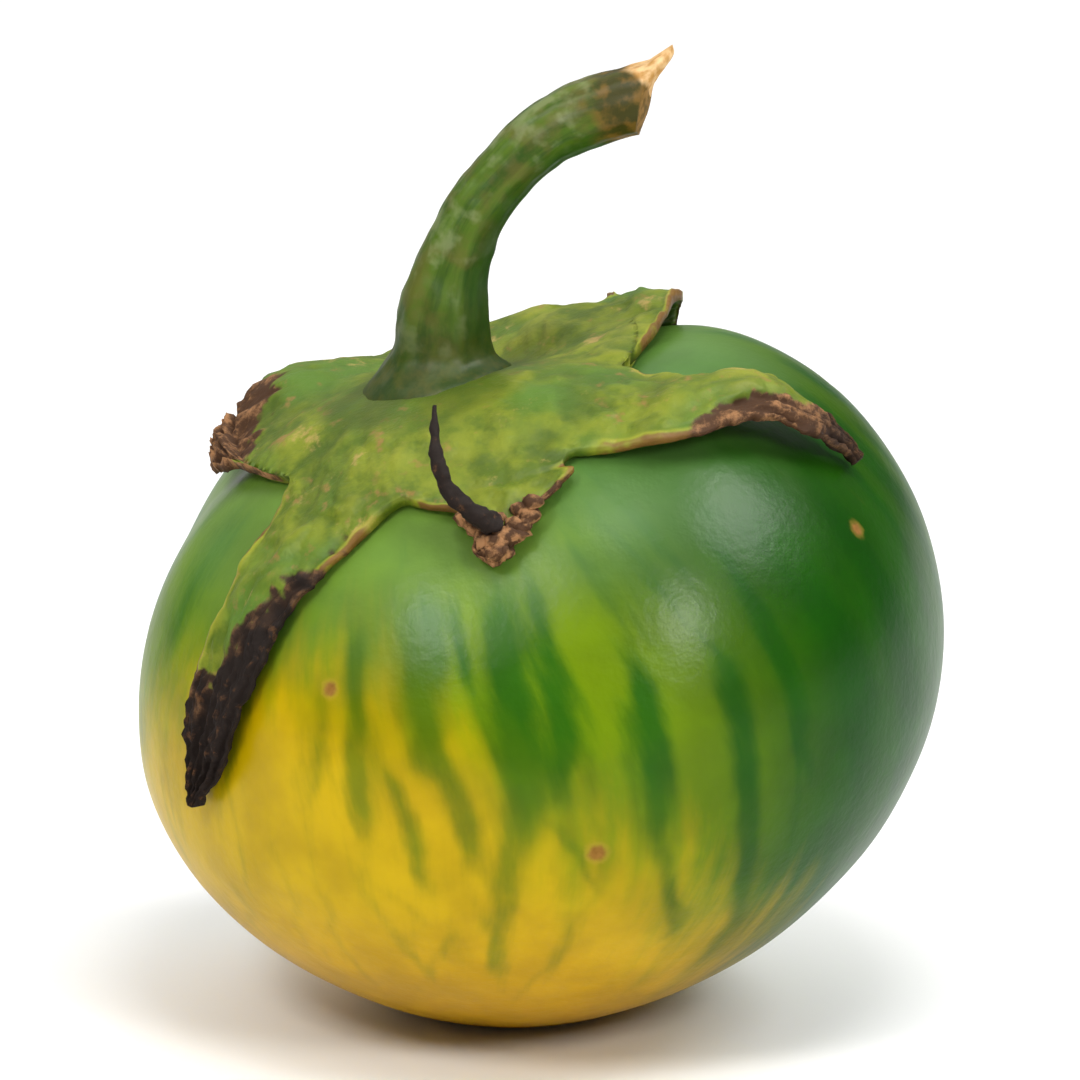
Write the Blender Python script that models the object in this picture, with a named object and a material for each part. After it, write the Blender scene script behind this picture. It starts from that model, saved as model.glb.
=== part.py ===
"""Gboma eggplant: a ribbed fruit that leans at its stem end, its six-lobed calyx and its curved stem.

Units are metres and +Z is up. The origin is the centre of the small flat spot that the fruit rests on,
+X is to the right and -Y is towards the viewer. Places on the fruit are given by a polar angle, 0 at the
stem end and 180 at the blossom end, and an azimuth, which turns from +X towards +Y.
"""
from collections import namedtuple

import bpy
import numpy as np

MM = 0.001

# Fruit
FRUIT_RADIUS = 30.1 * MM
SHOULDER_HEIGHT = 24.8 * MM     # from the widest level up to the stem end, before its hollow
BASE_DEPTH = 27.2 * MM          # from the widest level down to the blossom end, before the flat spot
SHOULDER_TAPER = 0.90           # below 1 the shoulder is squarer than round
BASE_TAPER = 1.16               # above 1 the lower half is a little pointed
REST_LEVEL = 26.3 * MM          # height of the widest level above the flat spot
REST_SHIFT = 2.2 * MM           # the blossom end sits this far left of the fruit's middle
STEM_END_LEAN = 19.3            # degrees to the left
STEM_END_NOD = 10.0             # degrees towards the viewer
BEND_BEGIN = -0.9 * BASE_DEPTH  # levels between which the lean and the nod build up
BEND_FULL = 0.7 * SHOULDER_HEIGHT
HOLLOW_DEPTH = 5.4 * MM         # the sunk stem end
HOLLOW_RADIUS = 11.3 * MM
HOLLOW_SHIFT = (4.1 * MM, 7.3 * MM)     # it is deepest behind the stem and to its right
VALLEY_DEPTH = 0.9 * MM         # shallow grooves that run down from under the calyx lobes
VALLEY_WIDTH = 15.0             # degrees of azimuth
VALLEY_REACH = (12, 34, 62, 112)        # polar angles: they begin, are full, start to fade and are gone
UNEVENNESS = 0.15 * MM

# Calyx
CALYX_GAP = 0.35 * MM           # clear of the skin below and of the stem's foot above
CALYX_THICKNESS = 0.9 * MM
HUB_THICKNESS = 2.3 * MM        # the fleshy middle that carries the stem
HUB_RADIUS = 7.0 * MM
MIDRIB_HEIGHT = 0.35 * MM
MIDRIB_WIDTH = 0.16             # share of the lobe's half width
ARCHES = [(53, 1.9, 21), (143, 1.7, 26)]    # where it arches up: azimuth, height in mm, width in degrees
ARCH_REACH = (14, 24, 31, 50)   # polar angles: an arch begins, is full, starts to fade and is gone
MARGIN_WAVE = 0.3 * MM
MARGIN_WAVES = 2.5              # along each lobe
NOTCH_ROUNDING = 0.3            # share of a lobe's length over which its foot narrows

Lobe = namedtuple("Lobe", "start foot reach middle widths rise edge_rise")
# start: azimuth of the notch before the lobe, and foot: that notch's polar angle; reach: polar angle of
# the tip; middle: azimuths of the middle line at each quarter of the length; widths: half widths from foot
# to tip in mm; rise: how far the middle line stands off the skin from foot to tip in mm; edge_rise: the
# same for the two margins, on top of the middle's.
LOBES = [
    Lobe(213, 23.5, 88.5, (227.4, 221.8, 217.8, 213.5), (3.7, 3.5, 3.0, 2.4, 0.5), (0.2, 0.4, 0.3, 0.3, 0.2),
         ((0, 0.2, 0.5, 0.6, 0.2), (0, 0.1, 0.4, 0.6, 0.2))),
    Lobe(260, 28.7, 43.8, (286.8, 283.5, 280.0, 278.5), (4.9, 4.4, 2.6, 1.6, 0.9), (0.1, 0.3, 0.5, 0.6, 0.5),
         ((0, 0.0, 0.1, 0.2, 0.2), (0, 0.2, 0.3, 0.3, 0.2))),
    Lobe(303.5, 32.5, 66, (330.5, 341.0, 346.0, 350.5), (4.9, 4.5, 3.4, 2.0, 0.5), (0.2, 1.5, 2.5, 1.9, 0.3),
         ((0, 0.0, 0.2, 0.1, 0), (0, -1.0, -1.2, -0.8, 0))),
    Lobe(347, 25.5, 55, (38.0, 47.0, 52.0, 54.0), (5.4, 5.2, 4.6, 3.2, 0.6), (0.1, 0.6, 0.9, 0.6, 0.2),
         ((0, 0.1, 0.2, 0.3, 0.1), (0, 0.3, 0.6, 0.5, 0.2))),
    Lobe(76, 34.0, 62, (98.0, 100.0, 103.0, 105.0), (5.0, 5.0, 4.4, 3.2, 0.6), (0.2, 0.4, 0.6, 0.5, 0.2),
         ((0, 0.2, 0.5, 0.5, 0.2), (0, 0.4, 0.7, 0.6, 0.2))),
    Lobe(140, 32.0, 34.0, (171.5, 168.5, 166.5, 165.5), (6.2, 5.4, 4.6, 3.6, 2.0), (0.3, 1.0, 1.3, 1.0, 0.5),
         ((0, -0.9, -1.2, -1.0, -0.4), (0, -0.4, -0.4, -0.2, 0))),
]

# Stem
STEM_RIB = 0.035                # share of the radius
FOOT_POLAR = 9.0                # degrees from the stem end out to the foot's edge
FOOT_BLEND = 0.22               # share of the stem's length over which the foot's flare fades
FOOT_CURVE = 1.5                # 1 fades it evenly, more fades it sooner
CUT_SLANT = 0.45                # share of the radius by which the cut end is longer above than below
CUT_HIGH_SIDE = 155.0           # degrees round the stem from its lower side, so the cut faces the viewer
CUT_BEGIN = 0.8                 # share of the stem's length at which the slant begins
CUT_SWELL = 0.45 * MM           # how far the torn end stands out in its middle
FIBRE_LENGTH = 2.0 * MM
FIBRE_WIDTH = 44.0              # degrees round the stem
FIBRE_BLUNTNESS = 2.6           # 2 is a pointed fibre, more is a blunt one
FIBRE_SIDE = 175.0              # near the upper side
FIBRE_TILT = 20.0               # degrees that it turns up from the stem's own direction

# The stem's middle line, from the calyx up to the cut end, and its radius along it, in mm
STEM_ROUTE = [(-5.1, -3.6, 46.8), (-5.1, -3.7, 50.3), (-5.0, -3.8, 54.0), (-4.2, -3.9, 57.7),
              (-2.6, -4.0, 61.5), (-0.1, -4.0, 64.7), (2.8, -4.0, 67.4), (6.1, -4.0, 68.9), (9.7, -4.0, 69.8)]
STEM_RADII = (3.7, 3.5, 3.3, 2.6, 2.3, 2.2, 2.4, 2.5, 2.4)

# The front lobe's dried tip, which stands up as a thin thorn, and its radius along it, in mm
THORN_ROUTE = [(-1.2, -23.4, 43.0), (-2.4, -24.3, 43.8), (-4.2, -24.4, 45.4), (-5.2, -24.0, 47.4),
               (-5.5, -22.8, 49.4), (-5.5, -21.5, 51.3)]
THORN_RADII = (0.9, 0.75, 0.6, 0.55, 0.4, 0.15)

# Mesh density
FRUIT_SEGMENTS = 64
FRUIT_RINGS = 34
RING_CROWDING = 0.35            # 0 spaces the rings evenly, near 1 crowds them at both ends
DISC_RINGS = 5
LOBE_COLUMNS = 8
LOBE_ROWS = 12
ROW_CROWDING = 1.25             # 1 spaces a lobe's rows evenly, more crowds them at its foot
STEM_SEGMENTS = 18
STEM_RINGS = 26
THORN_SEGMENTS = 8
THORN_RINGS = 10


def ease(low, high, x):
    """0 below low, 1 above high and smooth between."""
    s = np.clip((x - low) / (high - low), 0.0, 1.0)
    return s * s * (3.0 - 2.0 * s)


def flow(values, v):
    """A smooth curve through evenly spaced values, read at v from 0 to 1."""
    values = np.asarray(values, float)
    last = len(values) - 1
    x = np.clip(np.asarray(v, float), 0.0, 1.0) * last
    i = np.minimum(x.astype(int), last - 1)
    u = x - i
    if values.ndim > 1:
        u = u[..., None]
    p0, p1, p2, p3 = (values[np.clip(i + k, 0, last)] for k in (-1, 0, 1, 2))
    cubic = 3 * p1 - p0 - 3 * p2 + p3
    square = 2 * p0 - 5 * p1 + 4 * p2 - p3
    return 0.5 * (2 * p1 + (p2 - p0) * u + square * u**2 + cubic * u**3)


def turn_between(a, b):
    """Signed difference of two azimuths in degrees, from -180 to 180."""
    return (a - b + 180.0) % 360.0 - 180.0


def relief(polar, azimuth):
    """How far the skin stands in or out of the plain round form."""
    begin, full, fade, gone = VALLEY_REACH
    shoulder = ease(begin, full, polar) * (1 - ease(fade, gone, polar))
    depth = sum(np.exp(-(turn_between(azimuth, lobe.middle[-1]) / VALLEY_WIDTH) ** 2) for lobe in LOBES)
    f = np.radians(azimuth)
    uneven = np.cos(2 * f + 0.7) + 0.8 * np.cos(3 * f + 2.1) * np.cos(np.radians(2 * polar))
    return -VALLEY_DEPTH * depth * shoulder + UNEVENNESS * uneven * np.sin(np.radians(polar)) ** 2


def skin(polar, azimuth):
    """Points of the fruit's skin."""
    polar, azimuth = np.broadcast_arrays(np.asarray(polar, float), np.asarray(azimuth, float))
    t = np.radians(polar)
    f = np.radians(azimuth)
    upper = np.cos(t) >= 0
    across = FRUIT_RADIUS * np.abs(np.sin(t)) ** np.where(upper, SHOULDER_TAPER, BASE_TAPER)
    along = np.where(upper, SHOULDER_HEIGHT, BASE_DEPTH) * np.cos(t)
    swell = 1 + relief(polar, azimuth) / FRUIT_RADIUS
    x = across * swell * np.cos(f)
    y = across * swell * np.sin(f)
    from_hollow = np.hypot(x - HOLLOW_SHIFT[0], y - HOLLOW_SHIFT[1])
    along = along * swell - upper * HOLLOW_DEPTH * np.exp(-(from_hollow / HOLLOW_RADIUS) ** 2)
    bend = ease(BEND_BEGIN, BEND_FULL, along)
    lean = np.radians(STEM_END_LEAN) * bend
    nod = np.radians(STEM_END_NOD) * bend
    x, z = x * np.cos(lean) - along * np.sin(lean), along * np.cos(lean) + x * np.sin(lean)
    y, z = y * np.cos(nod) - z * np.sin(nod), z * np.cos(nod) + y * np.sin(nod)
    x = x + REST_SHIFT * ease(-BASE_DEPTH, 0.2 * BASE_DEPTH, along)
    return np.stack([x, y, np.maximum(z + REST_LEVEL, 0.0)], -1)


def skin_normal(polar, azimuth):
    """Outward unit normals of the skin."""
    step = 0.05
    polar = np.maximum(polar, 0.2)
    down = skin(polar + step, azimuth) - skin(polar - step, azimuth)
    around = skin(polar, azimuth + step) - skin(polar, azimuth - step)
    normal = np.cross(down, around)
    return normal / np.linalg.norm(normal, axis=-1, keepdims=True)


def above_skin(polar, azimuth, height):
    """Points that stand off the skin by a height."""
    return skin(polar, azimuth) + skin_normal(polar, azimuth) * np.asarray(height)[..., None]


def grid_faces(rows, closed):
    """Triangles between rows of vertex numbers, each row as long as the last."""
    faces = []
    for upper, lower in zip(rows, rows[1:]):
        count = len(upper)
        for i in range(count if closed else count - 1):
            j = (i + 1) % count
            faces += [(upper[i], lower[i], lower[j]), (upper[i], lower[j], upper[j])]
    return faces


def fan_faces(centre, ring, closed, flip=False):
    """Triangles from one vertex to a row of vertices."""
    faces = []
    for i in range(len(ring) if closed else len(ring) - 1):
        j = (i + 1) % len(ring)
        faces.append((centre, ring[j], ring[i]) if flip else (centre, ring[i], ring[j]))
    return faces


def fruit_mesh():
    """The berry, with rings set closer at both of its ends."""
    x = np.arange(1, FRUIT_RINGS) / FRUIT_RINGS
    polar = 180 * (x - RING_CROWDING * np.sin(2 * np.pi * x) / (2 * np.pi))
    azimuth = 360 * np.arange(FRUIT_SEGMENTS) / FRUIT_SEGMENTS
    points = skin(polar[:, None], azimuth[None, :]).reshape(-1, 3)
    points = np.vstack([points, skin(0, 0), skin(180, 0)])
    rows = np.arange(len(points) - 2).reshape(len(polar), FRUIT_SEGMENTS)
    top = len(points) - 2
    bottom = len(points) - 1
    faces = grid_faces(rows, closed=True)
    faces += fan_faces(top, rows[0], closed=True)
    faces += fan_faces(bottom, rows[-1], closed=True, flip=True)
    return points, faces


def lobe_foot(index, c):
    """Polar angle and azimuth along a lobe's foot, c from -1 to 1 between its two notches."""
    lobe = LOBES[index]
    following = LOBES[(index + 1) % len(LOBES)]
    share = (c + 1) / 2
    azimuth = lobe.start + ((following.start - lobe.start) % 360) * share
    return lobe.foot + (following.foot - lobe.foot) * share, azimuth


def lobe_point(index, c, v):
    """Polar angle and azimuth in a lobe, v from 0 at its foot to 1 at its tip."""
    lobe = LOBES[index]
    foot_polar, _ = lobe_foot(index, c)
    _, foot_middle = lobe_foot(index, 0.0)
    _, foot_end = lobe_foot(index, 1.0)
    polar = foot_polar + (lobe.reach - foot_polar) * v
    middle = flow([foot_middle] + [foot_middle + turn_between(a, foot_middle) for a in lobe.middle], v)
    wave = MARGIN_WAVE * np.sin(2 * np.pi * MARGIN_WAVES * v + 2 * index + 0.8 * c) * np.sin(np.pi * v)
    blade = np.degrees((flow(lobe.widths, v) * MM + wave) / (FRUIT_RADIUS * np.sin(np.radians(polar))))
    flare = (1 - np.sqrt(np.clip(v / NOTCH_ROUNDING, 0, 1))) ** 2
    return polar, middle + c * (blade + (foot_end - foot_middle - blade) * flare)


def calyx_height(index, c, v, polar, azimuth):
    """Height of the calyx's underside over the skin, and its thickness."""
    lobe = LOBES[index]
    margin = np.where(c < 0, flow(lobe.edge_rise[0], v), flow(lobe.edge_rise[1], v))
    lift = np.maximum(flow(lobe.rise, v) + margin * c**2, 0.0) * MM * ease(0.0, 0.25, v)
    begin, full, fade, gone = ARCH_REACH
    arched = sum(rise * np.exp(-(turn_between(azimuth, side) / width) ** 2) for side, rise, width in ARCHES)
    lift += arched * MM * ease(begin, full, polar) * (1 - ease(fade, gone, polar))
    hub = np.exp(-(FRUIT_RADIUS * np.sin(np.radians(polar)) / HUB_RADIUS) ** 2)
    midrib = MIDRIB_HEIGHT * np.exp(-(c / MIDRIB_WIDTH) ** 2) * (1 - v) * ease(0.0, 0.15, v)
    return CALYX_GAP + lift, CALYX_THICKNESS + (HUB_THICKNESS - CALYX_THICKNESS) * hub + midrib


def calyx_layout():
    """Lobe number, cross position, length position, polar angle and azimuth of each vertex of the sheet,
    and the sheet's triangles."""
    spots = [(0, 0.0, 0.0, 0.0, 0.0)]
    count = LOBE_COLUMNS * len(LOBES)
    across = np.linspace(-1, 1, LOBE_COLUMNS + 1)
    rings = []
    for ring in range(1, DISC_RINGS + 1):
        rings.append(range(len(spots), len(spots) + count))
        for index in range(len(LOBES)):
            for c in across[:-1]:
                polar, azimuth = lobe_foot(index, c)
                spots.append((index, c, 0.0, polar * ring / DISC_RINGS, azimuth))
    faces = fan_faces(0, rings[0], closed=True) + grid_faces(rings, closed=True)
    for index in range(len(LOBES)):
        rows = [[rings[-1][(index * LOBE_COLUMNS + i) % count] for i in range(LOBE_COLUMNS + 1)]]
        for row in range(1, LOBE_ROWS):
            v = (row / LOBE_ROWS) ** ROW_CROWDING
            rows.append(list(range(len(spots), len(spots) + LOBE_COLUMNS + 1)))
            for c in across:
                spots.append((index, c, v, *lobe_point(index, c, v)))
        faces += grid_faces(rows, closed=False)
        tip = len(spots)
        spots.append((index, 0.0, 1.0, *lobe_point(index, 0.0, 1.0)))
        faces += fan_faces(tip, rows[-1], closed=False, flip=True)
    return np.array(spots), faces


def free_edges(faces):
    """Edges that belong to one triangle only, in that triangle's own direction."""
    edges = {(a, b) for face in faces for a, b in zip(face, face[1:] + face[:1])}
    return [(a, b) for a, b in edges if (b, a) not in edges]


def calyx_mesh():
    """The sheet's upper side, its underside and the narrow rim between them."""
    spots, sheet = calyx_layout()
    height = np.zeros(len(spots))
    thickness = np.zeros(len(spots))
    for index in range(len(LOBES)):
        own = spots[:, 0] == index
        height[own], thickness[own] = calyx_height(index, *spots[own, 1:].T)
    polar, azimuth = spots[:, 3], spots[:, 4]
    under = above_skin(polar, azimuth, height)
    over = above_skin(polar, azimuth, height + thickness)
    size = len(spots)
    faces = list(sheet) + [(c + size, b + size, a + size) for a, b, c in sheet]
    for a, b in sorted(free_edges(sheet)):
        faces += [(b, a, a + size), (b, a + size, b + size)]
    return np.vstack([over, under]), faces


def sweep(route, radii, segments, rings):
    """Rings of points round a curved middle line, with the line's points and directions."""
    v = np.linspace(0, 1, rings)
    middle = flow(np.array(route) * MM, v)
    along = np.gradient(middle, axis=0)
    along /= np.linalg.norm(along, axis=1, keepdims=True)
    side = np.cross((0.0, 1.0, 0.0), along)
    side /= np.linalg.norm(side, axis=1, keepdims=True)
    front = np.cross(along, side)
    angle = 2 * np.pi * np.arange(segments) / segments
    radius = flow(radii, v)[:, None, None] * MM
    spoke = side[:, None] * np.cos(angle)[None, :, None] + front[:, None] * np.sin(angle)[None, :, None]
    return middle, along, spoke * radius, angle


def stem_foot(polar, azimuth):
    """Points just clear of the calyx's upper side, where the stem's foot sits."""
    polar = np.full(len(azimuth), polar)
    height, thickness = calyx_height(0, 0.0, 0.0, polar, azimuth)
    return above_skin(polar, azimuth, height + thickness + CALYX_GAP)


def stem_mesh():
    """A curved tube with a flared foot that follows the calyx and a slanted end with a torn fibre."""
    middle, along, spoke, angle = sweep(STEM_ROUTE, STEM_RADII, STEM_SEGMENTS, STEM_RINGS)
    v = np.linspace(0, 1, STEM_RINGS)[:, None, None]
    degrees = np.degrees(angle)
    tube = middle[:, None] + spoke * (1 + STEM_RIB * np.cos(5 * angle))[None, :, None]
    foot = stem_foot(FOOT_POLAR, degrees)
    tube += (foot - tube[0]) * (1 - ease(0, FOOT_BLEND, v)) ** FOOT_CURVE
    slant = CUT_SLANT * STEM_RADII[-1] * MM * np.cos(np.radians(degrees - CUT_HIGH_SIDE))
    aside = np.abs(turn_between(degrees, FIBRE_SIDE)) / FIBRE_WIDTH
    fibre = FIBRE_LENGTH * np.exp(-aside ** FIBRE_BLUNTNESS)
    upward = spoke[-1, STEM_SEGMENTS // 2] / np.linalg.norm(spoke[-1, STEM_SEGMENTS // 2])
    tilt = np.radians(FIBRE_TILT)
    fibre = fibre[:, None] * (along[-1] * np.cos(tilt) + upward * np.sin(tilt))
    tube += along[:, None] * (slant * ease(CUT_BEGIN, 1.0, v[..., 0]))[..., None]
    end = middle[-1]
    rings = [stem_foot(FOOT_POLAR * share, degrees) for share in (1 / 3, 2 / 3)] + list(tube)
    rings[-1] = rings[-1] + fibre
    # The torn end's rings: share of the radius and share of the fibre that is left
    for share, keep in ((0.72, 0.55), (0.36, 0.0)):
        ring = end + spoke[-1] * share
        rings.append(ring + along[-1] * (slant * share + CUT_SWELL * (1 - share**2))[:, None] + fibre * keep)
    points = np.vstack([*rings, stem_foot(0.0, degrees[:1]), [end + along[-1] * CUT_SWELL]])
    rows = np.arange(len(rings) * STEM_SEGMENTS).reshape(len(rings), STEM_SEGMENTS)
    faces = grid_faces(rows[::-1], closed=True)
    faces += fan_faces(len(points) - 2, rows[0], closed=True, flip=True)
    faces += fan_faces(len(points) - 1, rows[-1], closed=True)
    return points, faces


def thorn_mesh():
    """A thin bent cone with closed ends."""
    middle, _, spoke, _ = sweep(THORN_ROUTE, THORN_RADII, THORN_SEGMENTS, THORN_RINGS)
    points = np.vstack([(middle[:, None] + spoke).reshape(-1, 3), middle[:1], middle[-1:]])
    rows = np.arange(THORN_RINGS * THORN_SEGMENTS).reshape(THORN_RINGS, THORN_SEGMENTS)
    faces = grid_faces(rows[::-1], closed=True)
    faces += fan_faces(len(points) - 2, rows[0], closed=True, flip=True)
    faces += fan_faces(len(points) - 1, rows[-1], closed=True)
    return points, faces


def plain_material(name, colour, roughness):
    material = bpy.data.materials.new(name)
    material.use_nodes = True
    shader = material.node_tree.nodes["Principled BSDF"]
    shader.inputs["Base Color"].default_value = (*colour, 1.0)
    shader.inputs["Roughness"].default_value = roughness
    return material


def add_object(name, points, faces, material, origin, parent):
    """An object with its origin at a named point and its mesh round it."""
    mesh = bpy.data.meshes.new(name)
    mesh.from_pydata((points - origin).tolist(), [], faces)
    mesh.materials.append(material)
    mesh.shade_smooth()
    piece = bpy.data.objects.new(name, mesh)
    piece.location = origin
    piece.parent = parent
    bpy.context.scene.collection.objects.link(piece)
    return piece


def main():
    for old in list(bpy.data.objects):
        bpy.data.objects.remove(old)
    plant = bpy.data.objects.new("gboma_eggplant", None)
    bpy.context.scene.collection.objects.link(plant)
    rest = np.zeros(3)
    stem_end = skin(0, 0)
    skin_green = plain_material("fruit_skin", (0.30, 0.36, 0.02), 0.3)
    leaf_green = plain_material("calyx_leather", (0.18, 0.24, 0.03), 0.6)
    stem_green = plain_material("stem_green", (0.10, 0.16, 0.02), 0.55)
    add_object("fruit", *fruit_mesh(), skin_green, rest, plant)
    calyx = add_object("calyx", *calyx_mesh(), leaf_green, stem_end, plant)
    add_object("stem", *stem_mesh(), stem_green, stem_end, plant)
    thorn = add_object("calyx_thorn_guide", *thorn_mesh(), leaf_green, stem_end, plant)
    thorn.hide_render = True
    thorn.display_type = 'WIRE'
    join = calyx.modifiers.new("thorn", 'BOOLEAN')
    join.operation = 'UNION'
    join.solver = 'EXACT'
    join.object = thorn


main()
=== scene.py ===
"""Looks of the gboma eggplant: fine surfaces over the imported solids, their materials, light and camera.

Units are metres and +Z is up. Places on the fruit are given by a polar angle, 0 at the stem end and 180 at
the blossom end, and an azimuth, which turns from +X towards +Y; the camera looks along +Y.
"""
from collections import namedtuple

import bmesh
import bpy
import numpy as np
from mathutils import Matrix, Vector, noise


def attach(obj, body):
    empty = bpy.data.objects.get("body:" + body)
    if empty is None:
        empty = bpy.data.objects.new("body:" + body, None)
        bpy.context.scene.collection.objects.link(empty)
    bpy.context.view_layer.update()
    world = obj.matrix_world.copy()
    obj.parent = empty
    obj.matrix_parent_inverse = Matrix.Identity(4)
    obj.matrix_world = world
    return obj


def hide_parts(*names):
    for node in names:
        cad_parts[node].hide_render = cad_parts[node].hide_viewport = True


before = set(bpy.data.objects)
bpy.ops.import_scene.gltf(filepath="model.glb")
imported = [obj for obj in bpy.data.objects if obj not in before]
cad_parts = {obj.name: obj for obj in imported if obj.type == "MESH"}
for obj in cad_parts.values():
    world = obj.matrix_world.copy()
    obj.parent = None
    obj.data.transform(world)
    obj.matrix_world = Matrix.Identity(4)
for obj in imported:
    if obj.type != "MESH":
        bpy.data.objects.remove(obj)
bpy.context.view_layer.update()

MM = 0.001

# Form of the fruit, the same as in the part's source, which says what each value means
FRUIT_RADIUS = 30.1 * MM
SHOULDER_HEIGHT = 24.8 * MM
BASE_DEPTH = 27.2 * MM
SHOULDER_TAPER = 0.90
BASE_TAPER = 1.16
REST_LEVEL = 26.3 * MM
REST_SHIFT = 2.2 * MM
STEM_END_LEAN = 19.3
STEM_END_NOD = 10.0
BEND_BEGIN = -0.9 * BASE_DEPTH
BEND_FULL = 0.7 * SHOULDER_HEIGHT
HOLLOW_DEPTH = 5.4 * MM
HOLLOW_RADIUS = 11.3 * MM
HOLLOW_SHIFT = (4.1 * MM, 7.3 * MM)
VALLEY_DEPTH = 0.9 * MM
VALLEY_WIDTH = 15.0
VALLEY_REACH = (12, 34, 62, 112)
UNEVENNESS = 0.15 * MM

# Form of the calyx, the same as in the part's source
CALYX_GAP = 0.35 * MM
CALYX_THICKNESS = 0.9 * MM
HUB_THICKNESS = 2.3 * MM
HUB_RADIUS = 7.0 * MM
MIDRIB_HEIGHT = 0.35 * MM
MIDRIB_WIDTH = 0.16
ARCHES = [(53, 1.9, 21), (143, 1.7, 26)]
ARCH_REACH = (14, 24, 31, 50)
MARGIN_WAVE = 0.3 * MM
MARGIN_WAVES = 2.5
NOTCH_ROUNDING = 0.3

Lobe = namedtuple("Lobe", "start foot reach middle widths rise edge_rise")
LOBES = [
    Lobe(213, 23.5, 88.5, (227.4, 221.8, 217.8, 213.5), (3.7, 3.5, 3.0, 2.4, 0.5), (0.2, 0.4, 0.3, 0.3, 0.2),
         ((0, 0.2, 0.5, 0.6, 0.2), (0, 0.1, 0.4, 0.6, 0.2))),
    Lobe(260, 28.7, 43.8, (286.8, 283.5, 280.0, 278.5), (4.9, 4.4, 2.6, 1.6, 0.9), (0.1, 0.3, 0.5, 0.6, 0.5),
         ((0, 0.0, 0.1, 0.2, 0.2), (0, 0.2, 0.3, 0.3, 0.2))),
    Lobe(303.5, 32.5, 66, (330.5, 341.0, 346.0, 350.5), (4.9, 4.5, 3.4, 2.0, 0.5), (0.2, 1.5, 2.5, 1.9, 0.3),
         ((0, 0.0, 0.2, 0.1, 0), (0, -1.0, -1.2, -0.8, 0))),
    Lobe(347, 25.5, 55, (38.0, 47.0, 52.0, 54.0), (5.4, 5.2, 4.6, 3.2, 0.6), (0.1, 0.6, 0.9, 0.6, 0.2),
         ((0, 0.1, 0.2, 0.3, 0.1), (0, 0.3, 0.6, 0.5, 0.2))),
    Lobe(76, 34.0, 62, (98.0, 100.0, 103.0, 105.0), (5.0, 5.0, 4.4, 3.2, 0.6), (0.2, 0.4, 0.6, 0.5, 0.2),
         ((0, 0.2, 0.5, 0.5, 0.2), (0, 0.4, 0.7, 0.6, 0.2))),
    Lobe(140, 32.0, 34.0, (171.5, 168.5, 166.5, 165.5), (6.2, 5.4, 4.6, 3.6, 2.0), (0.3, 1.0, 1.3, 1.0, 0.5),
         ((0, -0.9, -1.2, -1.0, -0.4), (0, -0.4, -0.4, -0.2, 0))),
]

# Form of the stem and of the thorn, the same as in the part's source
STEM_RIB = 0.035
FOOT_POLAR = 9.0
FOOT_BLEND = 0.22
CUT_SLANT = 0.45
CUT_HIGH_SIDE = 155.0
CUT_BEGIN = 0.8
CUT_SWELL = 0.45 * MM
FIBRE_LENGTH = 2.0 * MM
FIBRE_WIDTH = 44.0
FIBRE_BLUNTNESS = 2.6
FIBRE_SIDE = 175.0
FIBRE_TILT = 20.0
STEM_ROUTE = [(-5.1, -3.6, 46.8), (-5.1, -3.7, 50.3), (-5.0, -3.8, 54.0), (-4.2, -3.9, 57.7),
              (-2.6, -4.0, 61.5), (-0.1, -4.0, 64.7), (2.8, -4.0, 67.4), (6.1, -4.0, 68.9), (9.7, -4.0, 69.8)]
STEM_RADII = (3.7, 3.5, 3.3, 2.6, 2.3, 2.2, 2.4, 2.5, 2.4)
THORN_ROUTE = [(-1.2, -23.4, 43.0), (-2.4, -24.3, 43.8), (-4.2, -24.4, 45.4), (-5.2, -24.0, 47.4),
               (-5.5, -22.8, 49.4), (-5.5, -21.5, 51.3)]
THORN_RADII = (0.9, 0.75, 0.6, 0.55, 0.4, 0.15)

# Finer form of the fruit
SKIN_LUMPS = 0.12 * MM
SPOT_DENT = 0.1 * MM
REST_CLEAR = (0.05 * MM, 1.5 * MM)      # heights between which the lumps build up, so the flat spot is flat

# Finer form of the calyx
LEFT, FRONT, RIGHT, LEFT_BACK = 0, 1, 2, 5      # places of these lobes in LOBES
NEAR_STEM = (7.0, 19.0)         # polar angles between which the smooth dusky middle ends
EDGE_THINNING = 0.45            # share of the thickness that is gone at a margin
DRIED_CORNER = (136, 148, 180, 200)     # azimuths: it begins, is full, starts to fade and is gone
DRIED_CORNER_FROM = (22.5, 27.5)        # polar angles between which it sets in
# Heights in mm: where it is fresh, where it is dry, and along the margins
CUSHIONS, BLISTERS, GRAINS, SWELLS = 0.24, 0.12, 0.06, 0.5
RIDGES, PITS = 0.5, 0.22
MARGIN_BEAD, ROLLED_MARGIN = 0.16, 0.45

# The heap of crumbs at the front lobe's end
CRUMBS = 150
CRUMB_RADII = (0.28, 0.74)      # mm
CRUMB_SEED = 21

# Finer form of the stem
FINE_RIB = 0.012                # share of the radius
FOOT_CURVE = 1.8                # 1 fades the foot's flare evenly, more fades it sooner
FOOT_SINK = 0.4 * MM            # how far the foot is set into the calyx
FLAP_RISE = 0.35 * MM           # how far the torn upper side stands up before the fibre
FLAP_WIDTH = 50.0               # degrees round the stem
FLAP_BEGIN = 0.88               # share of the stem's length
FIBRE_FADE = (0.1, 0.7)         # shares of the way into the cut between which the fibre sinks into it
PITH_FROM = 0.93                # share of the stem's length at which the pale pith sets in
PITH_BLEND = 0.07
PITH_WIDTH = 62.0               # degrees round the stem

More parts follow.
